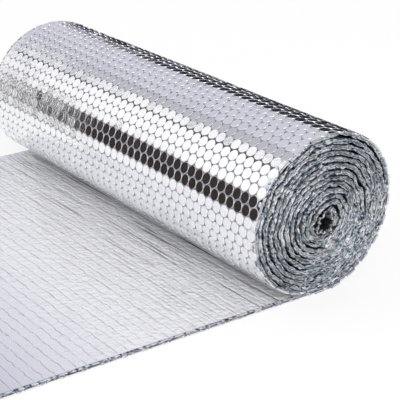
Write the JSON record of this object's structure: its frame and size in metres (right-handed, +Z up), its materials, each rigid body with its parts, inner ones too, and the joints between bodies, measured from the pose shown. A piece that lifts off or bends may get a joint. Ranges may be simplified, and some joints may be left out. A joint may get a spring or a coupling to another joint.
{
  "type": "foil bubble insulation roll",
  "caption": "Roll of silver foil bubble insulation lying on its side, wound without a core, with its free end unrolled flat on the floor.",
  "frame": {"origin": "on the floor, under the middle of the bounding box", "axes": "+Y along the roll, +Z up, and the flat tail runs from under the roll towards -X"},
  "size_m": [0.3988, 0.45, 0.1392],
  "materials": {
    "foil": "bright metallised film, creased and dimpled by the bubbles"
  },
  "bodies": {
    "root": {"foil_bubble_web": "foil"}
  },
  "joints": []
}
